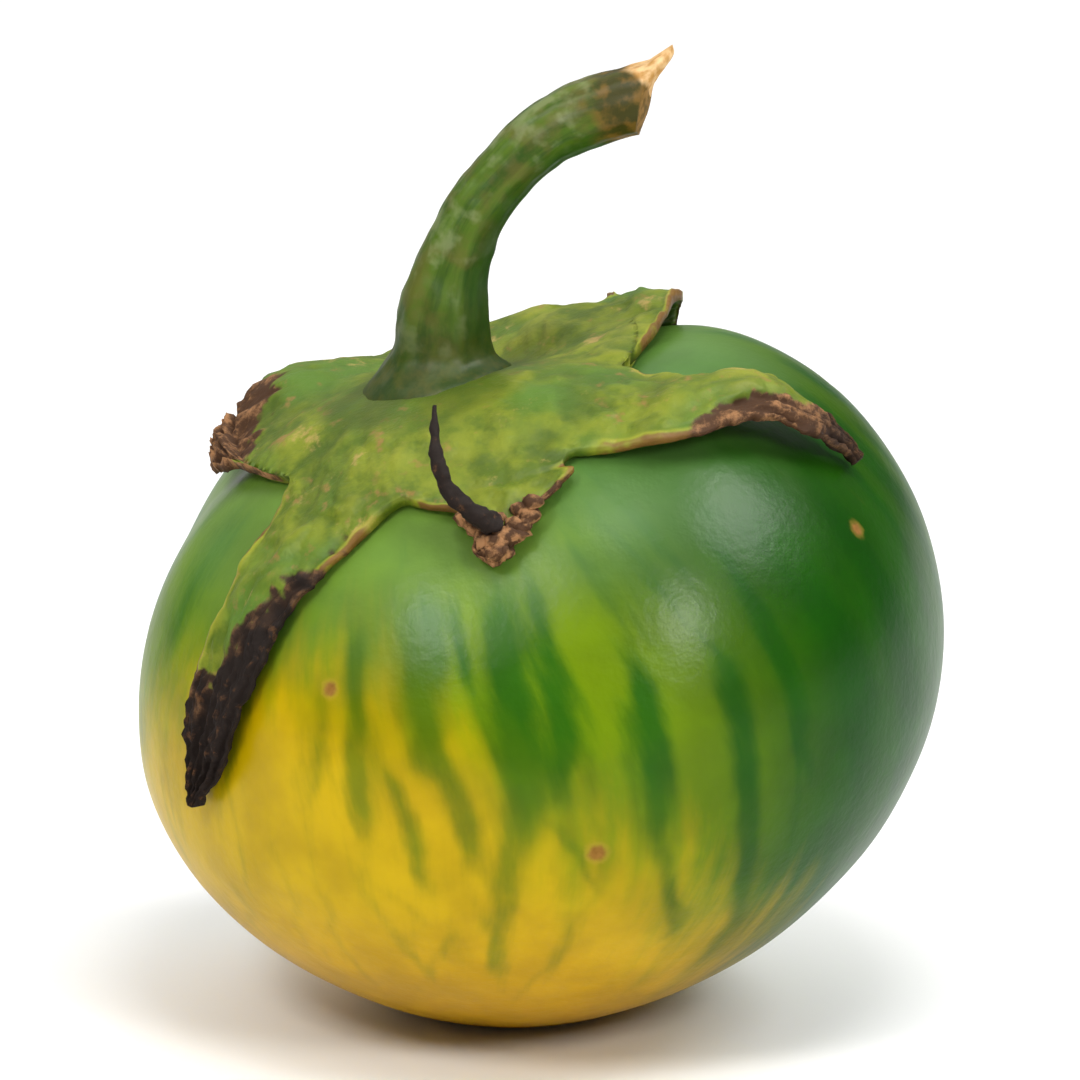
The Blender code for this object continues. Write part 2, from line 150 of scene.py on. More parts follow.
# Mesh density of the fine surfaces
FRUIT_SEGMENTS = 400
FRUIT_RINGS = 236
RING_CROWDING = 0.15            # 0 spaces the rings evenly, near 1 crowds them at both ends
DISC_RINGS = 26
LOBE_COLUMNS = 54
LOBE_ROWS = 96
ROW_CROWDING = 1.25             # 1 spaces a lobe's rows evenly, more crowds them at its foot
CRUMB_DIVISIONS = 2
STEM_SEGMENTS = 120
STEM_RINGS = 260
CUT_RINGS = 14
THORN_SEGMENTS = 24
THORN_RINGS = 90

# Stripes of the fruit's near side: polar angles of both ends, azimuths and half widths in mm evenly along
# the stripe, and strength
Stripe = namedtuple("Stripe", "top bottom azimuths widths strength")
STRIPES = [
    Stripe(26, 66, (199, 199, 198), (1.6, 1.8, 0.8), 0.7),
    # The next stripe, along the left lobe's right margin, is partly a stripe and partly the lobe's painted
    # shadow
    Stripe(36, 90, (234, 227, 221, 216), (1.0, 1.2, 0.8, 0.4), 0.75),
    Stripe(52, 86, (240.5, 239.5, 237.5), (0.6, 0.9, 0.5), 0.6),
    Stripe(40, 100, (250, 247.5, 246, 245.5, 245), (0.8, 1.2, 1.4, 1.2, 0.7), 0.9),
    Stripe(90, 140, (244.5, 243.5, 246, 251, 256), (0.7, 0.8, 0.8, 0.7, 0.5), 0.4),
    Stripe(70, 112, (251, 252, 254), (0.6, 1.0, 0.6), 0.6),
    Stripe(40, 82, (262.5, 261, 257.5, 254.5), (1.2, 2.1, 2.1, 0.9), 0.95),
    Stripe(64, 106, (256.5, 258.5, 259.5, 261), (0.9, 1.2, 1.1, 0.6), 0.85),
    Stripe(44, 66, (268, 267, 266), (0.5, 0.6, 0.4), 0.6),
    Stripe(38, 106, (278, 274.5, 270.5, 267.5, 264.5), (1.2, 1.7, 2.2, 2.5, 1.2), 1.0),
    Stripe(88, 138, (266.5, 264.5, 264, 264.5, 265.5), (1.4, 1.3, 1.0, 0.8, 0.5), 0.75),
    Stripe(40, 96, (283, 281, 278.5, 275, 271.5), (0.6, 0.8, 1.2, 1.4, 1.0), 0.9),
    Stripe(90, 110, (271.5, 274.5, 278), (0.6, 0.5, 0.3), 0.5),
    Stripe(60, 110, (291, 289, 287.5, 286.5, 286), (0.7, 1.3, 1.4, 1.1, 0.6), 0.95),
    Stripe(98, 126, (286.5, 290, 295.5), (0.7, 0.9, 0.6), 0.6),
    # The next, broad and faint, is a darker zone at the right lobe's foot, partly painted shade
    Stripe(24, 70, (303, 302, 300), (4.0, 4.6, 2.5), 0.45),
    Stripe(62, 132, (304, 301.5, 300.5, 301.5, 305, 313), (0.7, 1.2, 1.3, 1.2, 1.1, 0.5), 0.95),
    Stripe(52, 108, (312.5, 311.5, 310.5, 311, 314), (0.5, 0.8, 1.0, 0.8, 0.5), 0.8),
    Stripe(62, 114, (322, 321.5, 321, 322, 325), (1.4, 2.2, 2.2, 1.7, 0.8), 0.9),
    Stripe(54, 124, (336, 335, 335, 338), (1.4, 2.0, 1.6, 0.8), 0.9),
    Stripe(108, 146, (272, 276, 271, 268), (0.4, 0.5, 0.5, 0.3), 0.3),
    Stripe(112, 140, (258, 254, 251), (0.4, 0.6, 0.4), 0.3),
]
FAR_STRIPES = (348, 550)        # azimuths of the side that faces away, counted past 360
STRIPE_ENDS = (0.25, 0.72)      # shares of a stripe's length at which it is full and starts to fade
STRIPE_BLUNTNESS = 2.3          # 2 is a soft stripe, more is a flatter one with harder sides

# Where the green turns to yellow: azimuth, polar angle, and how far the change reaches on either side
RIPE_FROM = [(0, 148, 20), (40, 146, 20), (90, 140, 20), (130, 128, 20), (165, 104, 20), (192, 79, 24),
             (202, 70, 22), (212, 60, 16), (222, 54, 14), (232, 53, 14), (242, 53, 16), (252, 60, 26),
             (262, 71, 26), (268, 88, 26), (273, 100, 26), (282, 105, 28), (292, 116, 26), (302, 126, 24),
             (312, 134, 26), (325, 141, 26), (336, 146, 24)]

# The green deepens towards the right, partly in the skin's own colour and partly as painted shade
DEEP_AND_SHADE_FROM = 274                 # azimuth at which the green starts to deepen towards the right

# Brown corky spots on the skin: polar angle, azimuth and radius in mm
SPOTS = [(58.1, 243, 0.62), (100.3, 277.5, 0.75), (71.2, 338.5, 0.6), (84, 152, 0.6), (64, 20, 0.45),
         (112, 70, 0.6)]

# Strength of each surface's mirror-like shine
FRUIT_GLOSS = 0.11
CALYX_GLOSS = 0.18
STEM_GLOSS = 0.16

# Light: the sky is bright overhead and behind the fruit, and dim towards the camera
SKY_SLOPE = (-0.25, 0.4, 1.0)   # the sky gets brighter in this direction
SKY_LEVELS = (0.42, 1.02, 0.10, 1.2)    # two places on that slope, and the sky's strength at each
# Softboxes: name, azimuth from the camera to the right, elevation, distance, width, height and power
SOFTBOXES = [("key_left", -36, 42, 0.6, 0.13, 0.15, 1.2),
             ("key_right", 36, 31, 0.6, 0.13, 0.15, 1.15),
             ("shoulder", 13, 68, 0.7, 0.22, 0.22, 1.6),
             ("top_right", 86, 50, 0.8, 0.3, 0.3, 2.3)]
# The same for those that show only as highlights
SHEENS = [("sheen_left", -36, 42, 0.6, 0.14, 0.16, 2.4),
          ("sheen_right", 34, 30, 0.6, 0.13, 0.15, 2.6),
          ("sheen_shoulder", 20, 68, 0.7, 0.22, 0.22, 1.4),
          ("sheen_top_right", 88, 49, 0.8, 0.34, 0.3, 5.0)]

# Floor
FLOOR_REACH = 20.0              # to each side, far past what the camera sees
FLOOR_LEVEL = -0.1 * MM         # just below the flat spot, so that the two don't share a plane

# Camera
CAMERA_ELEVATION = 15.0
CAMERA_DISTANCE = 1.3
CAMERA_TARGET = (2.1 * MM, 2.3 * MM, 34.9 * MM)
FRAME_WIDTH = 79.5 * MM         # what the picture's width covers at the target
SENSOR_WIDTH = 36.0             # mm
CLIP_START = 0.05
CLIP_END = 20.0


def ease(low, high, x):
    """0 below low, 1 above high and smooth between."""
    s = np.clip((x - low) / (high - low), 0.0, 1.0)
    return s * s * (3.0 - 2.0 * s)


def flow(values, v):
    """A smooth curve through evenly spaced values, read at v from 0 to 1."""
    values = np.asarray(values, float)
    last = len(values) - 1
    x = np.clip(np.asarray(v, float), 0.0, 1.0) * last
    i = np.minimum(x.astype(int), last - 1)
    u = x - i
    if values.ndim > 1:
        u = u[..., None]
    p0, p1, p2, p3 = (values[np.clip(i + k, 0, last)] for k in (-1, 0, 1, 2))
    cubic = 3 * p1 - p0 - 3 * p2 + p3
    square = 2 * p0 - 5 * p1 + 4 * p2 - p3
    return 0.5 * (2 * p1 + (p2 - p0) * u + square * u**2 + cubic * u**3)


def turn_between(a, b):
    """Signed difference of two azimuths in degrees, from -180 to 180."""
    return (a - b + 180.0) % 360.0 - 180.0


def rough(points, size, octaves=1, seed=0):
    """Smooth chance values from about -1 to 1 at points, with lumps of the given size."""
    shift = Vector((seed * 17.3, seed * 5.9, seed * 11.1))
    values = [noise.fractal(Vector(p) / size + shift, 1.0, 2.0, octaves, noise_basis='PERLIN_ORIGINAL')
              for p in points]
    return np.array(values)


def relief(polar, azimuth):
    """How far the skin stands in or out of the plain round form."""
    begin, full, fade, gone = VALLEY_REACH
    shoulder = ease(begin, full, polar) * (1 - ease(fade, gone, polar))
    depth = sum(np.exp(-(turn_between(azimuth, lobe.middle[-1]) / VALLEY_WIDTH) ** 2) for lobe in LOBES)
    f = np.radians(azimuth)
    uneven = np.cos(2 * f + 0.7) + 0.8 * np.cos(3 * f + 2.1) * np.cos(np.radians(2 * polar))
    return -VALLEY_DEPTH * depth * shoulder + UNEVENNESS * uneven * np.sin(np.radians(polar)) ** 2


def skin(polar, azimuth):
    """Points of the fruit's skin."""
    polar, azimuth = np.broadcast_arrays(np.asarray(polar, float), np.asarray(azimuth, float))
    t = np.radians(polar)
    f = np.radians(azimuth)
    upper = np.cos(t) >= 0
    across = FRUIT_RADIUS * np.abs(np.sin(t)) ** np.where(upper, SHOULDER_TAPER, BASE_TAPER)
    along = np.where(upper, SHOULDER_HEIGHT, BASE_DEPTH) * np.cos(t)
    swell = 1 + relief(polar, azimuth) / FRUIT_RADIUS
    x = across * swell * np.cos(f)
    y = across * swell * np.sin(f)
    from_hollow = np.hypot(x - HOLLOW_SHIFT[0], y - HOLLOW_SHIFT[1])
    along = along * swell - upper * HOLLOW_DEPTH * np.exp(-(from_hollow / HOLLOW_RADIUS) ** 2)
    bend = ease(BEND_BEGIN, BEND_FULL, along)
    lean = np.radians(STEM_END_LEAN) * bend
    nod = np.radians(STEM_END_NOD) * bend
    x, z = x * np.cos(lean) - along * np.sin(lean), along * np.cos(lean) + x * np.sin(lean)
    y, z = y * np.cos(nod) - z * np.sin(nod), z * np.cos(nod) + y * np.sin(nod)
    x = x + REST_SHIFT * ease(-BASE_DEPTH, 0.2 * BASE_DEPTH, along)
    return np.stack([x, y, np.maximum(z + REST_LEVEL, 0.0)], -1)


def skin_normal(polar, azimuth):
    """Outward unit normals of the skin."""
    step = 0.05
    polar = np.maximum(polar, 0.2)
    down = skin(polar + step, azimuth) - skin(polar - step, azimuth)
    around = skin(polar, azimuth + step) - skin(polar, azimuth - step)
    normal = np.cross(down, around)
    return normal / np.linalg.norm(normal, axis=-1, keepdims=True)


def above_skin(polar, azimuth, height):
    """Points that stand off the skin by a height."""
    return skin(polar, azimuth) + skin_normal(polar, azimuth) * np.asarray(height)[..., None]


def grid_faces(rows, closed):
    """Triangles between rows of vertex numbers, each row as long as the last."""
    rows = np.asarray([list(row) for row in rows])
    after = np.roll(rows, -1, axis=1)
    if not closed:
        rows, after = rows[:, :-1], after[:, :-1]
    upper, lower = rows[:-1], rows[1:]
    upper_after, lower_after = after[:-1], after[1:]
    first = np.stack([upper, lower, lower_after], -1)
    second = np.stack([upper, lower_after, upper_after], -1)
    return np.stack([first, second], 2).reshape(-1, 3).tolist()


def fan_faces(centre, ring, closed, flip=False):
    """Triangles from one vertex to a row of vertices."""
    faces = []
    for i in range(len(ring) if closed else len(ring) - 1):
        j = (i + 1) % len(ring)
        faces.append((centre, ring[j], ring[i]) if flip else (centre, ring[i], ring[j]))
    return faces


def add_piece(name, points, faces, fields, stands_for=None):
    """A mesh piece with named numbers on its points, which rides on the plant's one body."""
    mesh = bpy.data.meshes.new(name)
    mesh.from_pydata(points.tolist(), [], faces)
    mesh.shade_smooth()
    for field, values in fields.items():
        if np.ndim(values) > 1:
            layer = mesh.attributes.new(field, 'FLOAT_VECTOR', 'POINT')
            layer.data.foreach_set("vector", np.asarray(values, np.float32).ravel())
        else:
            layer = mesh.attributes.new(field, 'FLOAT', 'POINT')
            layer.data.foreach_set("value", np.asarray(values, np.float32))
    piece = bpy.data.objects.new(name, mesh)
    bpy.context.scene.collection.objects.link(piece)
    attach(piece, "root")
    if stands_for:
        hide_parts(stands_for)
    return piece


# The fruit

def chance_stripes(seed, spacing, span, tops, lengths, bend, widths, strengths):
    """Stripes side by side over a span of azimuths, each a little different."""
    chance = np.random.default_rng(seed)
    stripes = []
    azimuth = span[0]
    while azimuth < span[1]:
        top = chance.uniform(*tops)
        course = azimuth + chance.normal(0, bend, 5).cumsum()
        wide = chance.uniform(*widths)
        stripes.append(Stripe(top, top + chance.uniform(*lengths), tuple(course),
                              (0.6 * wide, wide, wide, 0.8 * wide, 0.4 * wide), chance.uniform(*strengths)))
        azimuth += spacing * chance.uniform(0.5, 1.5)
    return stripes


def all_stripes():
    """The stripes of the near side, those of the far side, faint streaks and the veins low down."""
    return (STRIPES
            + chance_stripes(11, 9.5, FAR_STRIPES, (34, 60), (46, 80), 1.3, (0.9, 2.1), (0.7, 1.0))
            + chance_stripes(12, 3.2, (0, 360), (26, 70), (24, 60), 0.8, (0.3, 0.7), (0.1, 0.45))
            + chance_stripes(13, 7.0, (0, 360), (84, 118), (22, 46), 2.2, (0.5, 1.1), (0.12, 0.3)))


def stripe_field(polar, azimuth, around):
    """0 between the stripes and up to 1 in their middles."""
    full, fade = STRIPE_ENDS
    clear = np.ones_like(polar)
    for stripe in all_stripes():
        v = (polar - stripe.top) / (stripe.bottom - stripe.top)
        side = np.radians(turn_between(azimuth, flow(stripe.azimuths, v))) * around
        width = flow(stripe.widths, v) * MM
        ends = ease(0.0, full, v) * (1 - ease(fade, 1.0, v))
        clear *= 1 - stripe.strength * ends * np.exp(-np.abs(side / width) ** STRIPE_BLUNTNESS)
    return 1 - clear


def fruit_layout():
    """Polar angle and azimuth of each vertex of the skin, and the triangles."""
    x = np.arange(1, FRUIT_RINGS) / FRUIT_RINGS
    polar = 180 * (x - RING_CROWDING * np.sin(2 * np.pi * x) / (2 * np.pi))
    azimuth = 360 * np.arange(FRUIT_SEGMENTS) / FRUIT_SEGMENTS
    polar, azimuth = (a.ravel() for a in np.broadcast_arrays(polar[:, None], azimuth[None, :]))
    top = len(polar)
    bottom = top + 1
    rows = np.arange(top).reshape(FRUIT_RINGS - 1, FRUIT_SEGMENTS)
    faces = grid_faces(rows, closed=True)
    faces += fan_faces(top, rows[0].tolist(), closed=True)
    faces += fan_faces(bottom, rows[-1].tolist(), closed=True, flip=True)
    return np.concatenate([polar, [0.0, 180.0]]), np.concatenate([azimuth, [0.0, 0.0]]), faces


def ripeness(polar, azimuth, warp, fine_warp):
    """0 where the skin is green and 1 where it has turned yellow."""
    azimuths, borders, blends = np.array(RIPE_FROM).T
    border = np.interp(azimuth, azimuths, borders, period=360)
    blend = np.interp(azimuth, azimuths, blends, period=360)
    f = np.radians(azimuth)
    lanes = rough(np.stack([np.cos(f), np.sin(f), 0.0015 * polar], 1), 0.06, 2, seed=14)
    beyond = polar - border + 3 * warp + 2 * fine_warp + 7 * lanes
    return np.clip(0.5 + 0.5 * beyond / blend, 0, 1)


def green_depth_and_shade(azimuth):
    """0 on the left, where the green is light, 1 on the right and in between on the far side; the deeper
    green is partly the skin's own colour and partly painted shade.
    """
    after = (azimuth - DEEP_AND_SHADE_FROM) % 360
    return ease(0, 52, after) * (1 - 0.45 * ease(62, 110, after)) * (1 - ease(156, 276, after))


def corky_spots(points):
    """1 in the middle of each spot and 0 away from all of them."""
    cork = np.zeros(len(points))
    for polar, azimuth, radius in SPOTS:
        away = np.linalg.norm(points - skin(polar, azimuth), axis=1) / (radius * MM)
        cork = np.maximum(cork, np.exp(-away ** 2))
    return cork


def make_fruit():
    """The fruit's skin, with the numbers that its colours follow."""
    polar, azimuth, faces = fruit_layout()
    points = skin(polar, azimuth)
    warp = rough(points, 9 * MM, 2, seed=1)
    fine_warp = rough(points, 3 * MM, 2, seed=2)
    around = FRUIT_RADIUS * np.sin(np.radians(polar))
    spot = corky_spots(points)
    f = np.radians(azimuth)
    fields = {
        "stripe": stripe_field(polar + 2 * warp, azimuth + 1.2 * warp + 0.7 * fine_warp, around),
        "ripe": ripeness(polar, azimuth, warp, fine_warp),
        "spot": spot,
        "polar": polar,
        "grain": np.stack([np.cos(f), np.sin(f), np.radians(polar) * 0.2], 1),
        "deep_green_and_shade": green_depth_and_shade(azimuth),
    }
    free = ease(*REST_CLEAR, points[:, 2])
    lumps = SKIN_LUMPS * rough(points, 8 * MM, 1, seed=3) - SPOT_DENT * spot
    points += skin_normal(polar, azimuth) * (lumps * free)[:, None]
    return add_piece("fruit_skin", points, faces, fields, stands_for="fruit")


# The calyx

def lobe_foot(index, c):
    """Polar angle and azimuth along a lobe's foot, c from -1 to 1 between its two notches."""
    lobe = LOBES[index]
    following = LOBES[(index + 1) % len(LOBES)]
    share = (c + 1) / 2
    azimuth = lobe.start + ((following.start - lobe.start) % 360) * share
    return lobe.foot + (following.foot - lobe.foot) * share, azimuth


def lobe_point(index, c, v):
    """Polar angle and azimuth in a lobe, v from 0 at its foot to 1 at its tip."""
    lobe = LOBES[index]
    foot_polar, _ = lobe_foot(index, c)
    _, foot_middle = lobe_foot(index, 0.0)
    _, foot_end = lobe_foot(index, 1.0)
    polar = foot_polar + (lobe.reach - foot_polar) * v
    middle = flow([foot_middle] + [foot_middle + turn_between(a, foot_middle) for a in lobe.middle], v)
    wave = MARGIN_WAVE * np.sin(2 * np.pi * MARGIN_WAVES * v + 2 * index + 0.8 * c) * np.sin(np.pi * v)
    blade = np.degrees((flow(lobe.widths, v) * MM + wave) / (FRUIT_RADIUS * np.sin(np.radians(polar))))
    flare = (1 - np.sqrt(np.clip(v / NOTCH_ROUNDING, 0, 1))) ** 2
    return polar, middle + c * (blade + (foot_end - foot_middle - blade) * flare)


def calyx_height(index, c, v, polar, azimuth):
    """Height of the calyx's underside over the skin, and its thickness."""
    lobe = LOBES[index]
    margin = np.where(c < 0, flow(lobe.edge_rise[0], v), flow(lobe.edge_rise[1], v))
    lift = np.maximum(flow(lobe.rise, v) + margin * c**2, 0.0) * MM * ease(0.0, 0.25, v)
    begin, full, fade, gone = ARCH_REACH
    arched = sum(rise * np.exp(-(turn_between(azimuth, side) / width) ** 2) for side, rise, width in ARCHES)
    lift += arched * MM * ease(begin, full, polar) * (1 - ease(fade, gone, polar))
    hub = np.exp(-(FRUIT_RADIUS * np.sin(np.radians(polar)) / HUB_RADIUS) ** 2)
    midrib = MIDRIB_HEIGHT * np.exp(-(c / MIDRIB_WIDTH) ** 2) * (1 - v) * ease(0.0, 0.15, v)
    return CALYX_GAP + lift, CALYX_THICKNESS + (HUB_THICKNESS - CALYX_THICKNESS) * hub + midrib


def calyx_layout():
    """Lobe number, cross position, length position, polar angle and azimuth of each vertex of the sheet,
    and the sheet's triangles."""
    spots = [(0, 0.0, 0.0, 0.0, 0.0)]
    count = LOBE_COLUMNS * len(LOBES)
    across = np.linspace(-1, 1, LOBE_COLUMNS + 1)
    rings = []
    for ring in range(1, DISC_RINGS + 1):
        rings.append(range(len(spots), len(spots) + count))
        for index in range(len(LOBES)):
            for c in across[:-1]:
                polar, azimuth = lobe_foot(index, c)
                spots.append((index, c, 0.0, polar * ring / DISC_RINGS, azimuth))
    faces = fan_faces(0, rings[0], closed=True) + grid_faces(rings, closed=True)
    for index in range(len(LOBES)):
        rows = [[rings[-1][(index * LOBE_COLUMNS + i) % count] for i in range(LOBE_COLUMNS + 1)]]
        for row in range(1, LOBE_ROWS):
            v = (row / LOBE_ROWS) ** ROW_CROWDING
            rows.append(list(range(len(spots), len(spots) + LOBE_COLUMNS + 1)))
            polar, azimuth = lobe_point(index, across, v)
            spots += [(index, c, v, p, a) for c, p, a in zip(across, polar, azimuth)]
        faces += grid_faces(rows, closed=False)
        tip = len(spots)
        spots.append((index, 0.0, 1.0, *lobe_point(index, 0.0, 1.0)))
        faces += fan_faces(tip, rows[-1], closed=False, flip=True)
    return np.array(spots), faces


def free_edges(faces):
    """Edges that belong to one triangle only, in that triangle's own direction."""
    edges = {(a, b) for face in faces for a, b in zip(face, [*face[1:], face[0]])}
    return [(a, b) for a, b in edges if (b, a) not in edges]


def two_sided(sheet, size):
    """Triangles of a sheet of that many points, of its underside, whose points follow, and of its rim."""
    faces = [*sheet, *([x + size, y + size, z + size] for z, y, x in sheet)]
    for a, b in sorted(free_edges(sheet)):
        faces += [(b, a, a + size), (b, a + size, b + size)]
    return faces


def sideways(polar, azimuth):
    """Unit vectors along the skin towards a larger azimuth."""
    step = 0.05
    course = skin(polar, azimuth + step) - skin(polar, azimuth - step)
    return course / np.maximum(np.linalg.norm(course, axis=1, keepdims=True), 1e-9)


def dryness(index, c, v, chance):
    """Where the calyx has dried brown: 0 where fresh, 1 where dry."""
    dry = np.zeros_like(c)
    left, front, right, right_back, back, left_back = (index == i for i in range(len(LOBES)))
    dry += left * ease(-0.12, 0.1, v - 0.54 + 0.34 * ease(-0.4, 0.7, c) + 0.12 * chance)
    dry += front * ease(-0.1, 0.1, v - 0.62 + 0.3 * c**2 + 0.14 * chance) * ease(0.2, 0.4, v)
    dry += right * ease(-0.1, 0.15, -0.62 - c + 0.4 * ease(0.3, 0.55, v) * (1 - ease(0.55, 0.75, v))
                        + 0.2 * chance) * ease(0.25, 0.42, v)
    dry += right * ease(0.62, 0.78, v - 0.1 * c + 0.06 * chance)
    dry += right_back * ease(0.86, 0.95, v + 0.05 * chance)
    dry += back * ease(0.8, 0.92, v + 0.06 * chance)
    dry += left_back * ease(0.46, 0.7, v + 0.2 * chance)
    dry += left_back * ease(0.7, 0.92, np.abs(c) + 0.25 * chance) * ease(0.0, 0.12, v)
    return np.clip(dry, 0, 1)


def dried_corner(polar, azimuth, chance):
    """The brown that reaches in from the left back lobe's end."""
    begin, full, fade, gone = DRIED_CORNER
    across = ease(begin, full, azimuth) * (1 - ease(fade, gone, azimuth))
    return 0.9 * across * ease(*DRIED_CORNER_FROM, polar + 4 * chance)


def calyx_relief(plain, index, c, v, dry, chance):
    """Height in mm of the blisters where the calyx is fresh, of the ridges and pits where it is dry, and of
    the left back lobe's rolled margin."""
    cushions = ease(0.0, 0.6, np.abs(rough(plain, 4.0 * MM, 2, seed=5)))
    small = ease(0.0, 0.6, np.abs(rough(plain, 1.8 * MM, 2, seed=6)))
    swells = rough(plain, 6.0 * MM, 1, seed=10)
    fresh = CUSHIONS * (cushions - 0.5) + BLISTERS * (small - 0.5) + GRAINS * chance + SWELLS * swells
    streamed = np.stack([2.6 * c, 3.4 * v, 7.0 * index], 1)
    ridges = 1 - 2 * np.abs(rough(streamed, 1.0, 3, seed=8))
    pits = rough(plain, 0.7 * MM, 2, seed=9)
    crisp = RIDGES * (ridges - 0.7) + PITS * pits
    crisp *= 1 - 0.6 * ease(0.7, 0.95, v) * (index == LEFT_BACK)
    bead = np.exp(-((np.abs(c) - 0.9) / 0.08) ** 2) * ease(0.04, 0.2, v)
    tip_bead = np.exp(-((v - 0.85) / 0.1) ** 2)
    rolled = np.maximum(bead * (1 - ease(0.6, 0.85, v)), 0.5 * tip_bead)
    relief_when_dry = dry * crisp + ROLLED_MARGIN * rolled * (index == LEFT_BACK)
    return (1 - dry) * (fresh + MARGIN_BEAD * bead) + relief_when_dry


def make_calyx():
    """The star of lobes, with the numbers that its colours follow."""
    spots, sheet = calyx_layout()
    index, c, v, polar, azimuth = spots.T
    height = np.zeros(len(spots))
    thickness = np.zeros(len(spots))
    for lobe in range(len(LOBES)):
        own = index == lobe
        height[own], thickness[own] = calyx_height(lobe, *spots[own, 1:].T)
    plain = above_skin(polar, azimuth, height + thickness)
    chance = rough(plain, 1.4 * MM, 2, seed=4)
    dry = np.maximum(dryness(index, c, v, chance), dried_corner(polar, azimuth, chance))
    near_stem = 1 - ease(*NEAR_STEM, polar + 5 * rough(plain, 4.0 * MM, 2, seed=15))
    bumps = calyx_relief(plain, index, c, v, dry, chance) * MM * (1 - 0.85 * near_stem)
    edge = ease(0.74, 1.0, np.abs(c) + 0.05 * chance) * ease(0.0, 0.1, v)
    thinning = 1 - EDGE_THINNING * np.abs(c) ** 3 * ease(0.02, 0.12, v)
    tears = (0.25 * rough(plain, 3.0 * MM, 2, seed=7) + 0.5 * dry * chance) * c * ease(0.0, 0.15, v) * MM
    shift = sideways(polar, azimuth) * tears[:, None]
    over = above_skin(polar, azimuth, height + thickness * thinning + bumps) + shift
    under = above_skin(polar, azimuth, height + np.minimum(bumps, 0) * 0.5) + shift
    char = dry * (index == LEFT) + 0.75 * dry * (index == RIGHT) * ease(0.6, 0.85, v)
    values = {"dry": dry, "char": char, "edge": edge, "high": bumps / MM, "near_stem": near_stem}
    fields = {name: np.tile(value, 2) for name, value in values.items()}
    faces = two_sided(sheet, len(spots))
    return add_piece("calyx_lobes", np.vstack([over, under]), faces, fields, stands_for="calyx")


def lump(centre, radii, seed):
    """Points and triangles of a crumb: a small ball with a rough skin."""
    ball = bmesh.new()
    bmesh.ops.create_icosphere(ball, subdivisions=CRUMB_DIVISIONS, radius=1.0)
    points = np.array([vertex.co for vertex in ball.verts])
    faces = [tuple(vertex.index for vertex in face.verts) for face in ball.faces]
    ball.free()
    points *= (1 + 0.5 * rough(points, 0.9, 2, seed=seed))[:, None]
    return centre + points * radii, faces


def make_crumbs():
    """The crumbled end of the front lobe: a heap of small dry lumps along its margin."""
    chance = np.random.default_rng(CRUMB_SEED)
    points, faces, count = [], [], 0
    for number in range(CRUMBS):
        c = chance.uniform(-1.0, 1.0)
        v = np.clip(chance.normal(0.84 - 0.3 * c**2, 0.1), 0.4, 0.95)
        polar, azimuth = lobe_point(FRONT, np.array([c]), np.array([v]))
        height, thickness = calyx_height(FRONT, np.array([c]), np.array([v]), polar, azimuth)
        radius = chance.uniform(*CRUMB_RADII) * MM
        centre = above_skin(polar, azimuth, height + thickness * chance.uniform(0.1, 1.0))[0]
        own, own_faces = lump(centre, radius * chance.uniform(0.75, 1.25, 3), number)
        points.append(own)
        faces += [tuple(corner + count for corner in face) for face in own_faces]
        count += len(own)
    points = np.vstack(points)
    high = rough(points, 0.6 * MM, 2, seed=12)
    return add_piece("calyx_crumbs", points, faces, dry_fields(count, char=0, high=high))


def dry_fields(count, char, high):
    """The calyx material's numbers for a piece that is dry all over."""
    whole = np.ones(count)
    return {"dry": whole, "char": char * whole, "edge": 0 * whole, "high": high * whole,
            "near_stem": 0 * whole}


# The stem and the thorn

def sweep(route, radii, segments, rings):
    """Rings of points round a curved middle line, with the line's points and directions."""
    v = np.linspace(0, 1, rings)
    middle = flow(np.array(route) * MM, v)
    along = np.gradient(middle, axis=0)
    along /= np.linalg.norm(along, axis=1, keepdims=True)
    side = np.cross((0.0, 1.0, 0.0), along)
    side /= np.linalg.norm(side, axis=1, keepdims=True)
    front = np.cross(along, side)
    angle = 2 * np.pi * np.arange(segments) / segments
    radius = flow(radii, v)[:, None, None] * MM
    spoke = side[:, None] * np.cos(angle)[None, :, None] + front[:, None] * np.sin(angle)[None, :, None]
    return middle, along, spoke * radius, angle


def stem_foot(polar, azimuth):
    """Points on the calyx's upper side, a little inside it, where the stem's foot starts."""
    polar = np.full(len(azimuth), polar)
    height, thickness = calyx_height(0, 0.0, 0.0, polar, azimuth)
    return above_skin(polar, azimuth, height + thickness - FOOT_SINK)


def tube_faces(rings, segments):
    """Triangles of a tube: its rings' points come first, then the middles of its first and last end."""
    middles = rings * segments
    rows = np.arange(middles).reshape(rings, segments)
    faces = grid_faces(rows[::-1], closed=True)
    faces += fan_faces(middles, rows[0].tolist(), closed=True, flip=True)
    faces += fan_faces(middles + 1, rows[-1].tolist(), closed=True)
    return faces


